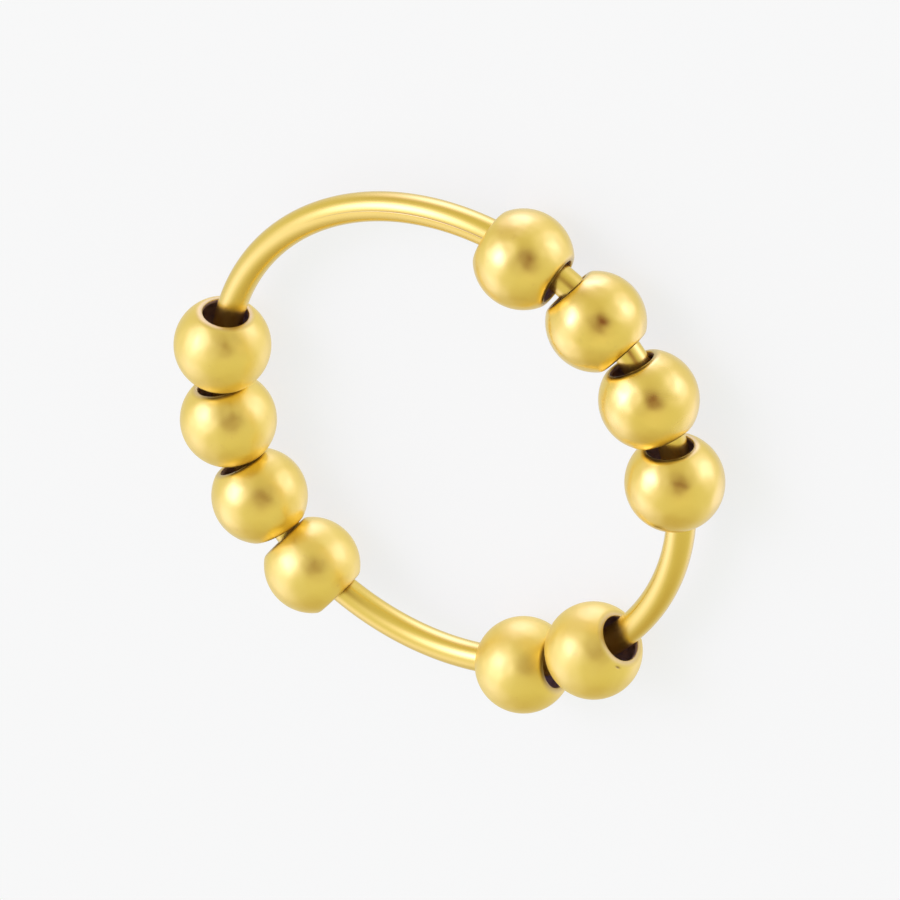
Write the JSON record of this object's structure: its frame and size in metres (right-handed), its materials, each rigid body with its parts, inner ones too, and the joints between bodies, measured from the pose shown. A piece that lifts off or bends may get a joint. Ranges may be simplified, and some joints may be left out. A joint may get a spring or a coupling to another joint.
{
  "type": "spinner ring",
  "caption": "Closed finger ring of round wire carrying loose hollow round beads that slide and circle on it, lying on its side.",
  "frame": {"origin": "centre of the band's wire circle, on the finger's axis", "axes": "+Z along the finger's axis, upward as the ring lies on its side; +X and +Y in the wire's plane, with the reference view from -Y"},
  "size_m": [0.0235, 0.025, 0.004],
  "materials": {
    "wire": "polished gold plate",
    "bead": "satin gold plate"
  },
  "bodies": {
    "band": {"band": "wire"},
    "bead_1": {"bead_1": "bead"},
    "bead_2": {"bead_2": "bead"},
    "bead_3": {"bead_3": "bead"},
    "bead_4": {"bead_4": "bead"},
    "bead_5": {"bead_5": "bead"},
    "bead_6": {"bead_6": "bead"},
    "bead_7": {"bead_7": "bead"},
    "bead_8": {"bead_8": "bead"},
    "bead_9": {"bead_9": "bead"},
    "bead_10": {"bead_10": "bead"}
  },
  "joints": [
    {"name": "bead_5_circuit", "type": "hinge", "parent": "band", "child": "bead_5", "pos_m": [0, 0, 0], "axis": [0, 0, 1], "continuous": true},
    {"name": "bead_4_travel", "type": "hinge", "parent": "bead_5", "child": "bead_4", "pos_m": [0, 0, 0], "axis": [0, 0, 1], "range_deg": [-30.8, 37.5]},
    {"name": "bead_3_travel", "type": "hinge", "parent": "bead_4", "child": "bead_3", "pos_m": [0, 0, 0], "axis": [0, 0, 1], "range_deg": [-30.8, 0]},
    {"name": "bead_2_travel", "type": "hinge", "parent": "bead_3", "child": "bead_2", "pos_m": [0, 0, 0], "axis": [0, 0, 1], "range_deg": [-30.8, 0]},
    {"name": "bead_1_travel", "type": "hinge", "parent": "bead_2", "child": "bead_1", "pos_m": [0, 0, 0], "axis": [0, 0, 1], "range_deg": [-30.8, 0]},
    {"name": "bead_6_travel", "type": "hinge", "parent": "bead_5", "child": "bead_6", "pos_m": [0, 0, 0], "axis": [0, 0, 1], "range_deg": [-0.65, 24]},
    {"name": "bead_7_travel", "type": "hinge", "parent": "bead_6", "child": "bead_7", "pos_m": [0, 0, 0], "axis": [0, 0, 1], "range_deg": [-38, 24]},
    {"name": "bead_8_travel", "type": "hinge", "parent": "bead_7", "child": "bead_8", "pos_m": [0, 0, 0], "axis": [0, 0, 1], "range_deg": [-0.65, 24]},
    {"name": "bead_9_travel", "type": "hinge", "parent": "bead_8", "child": "bead_9", "pos_m": [0, 0, 0], "axis": [0, 0, 1], "range_deg": [-0.65, 24]},
    {"name": "bead_10_travel", "type": "hinge", "parent": "bead_9", "child": "bead_10", "pos_m": [0, 0, 0], "axis": [0, 0, 1], "range_deg": [-0.65, 24]}
  ]
}
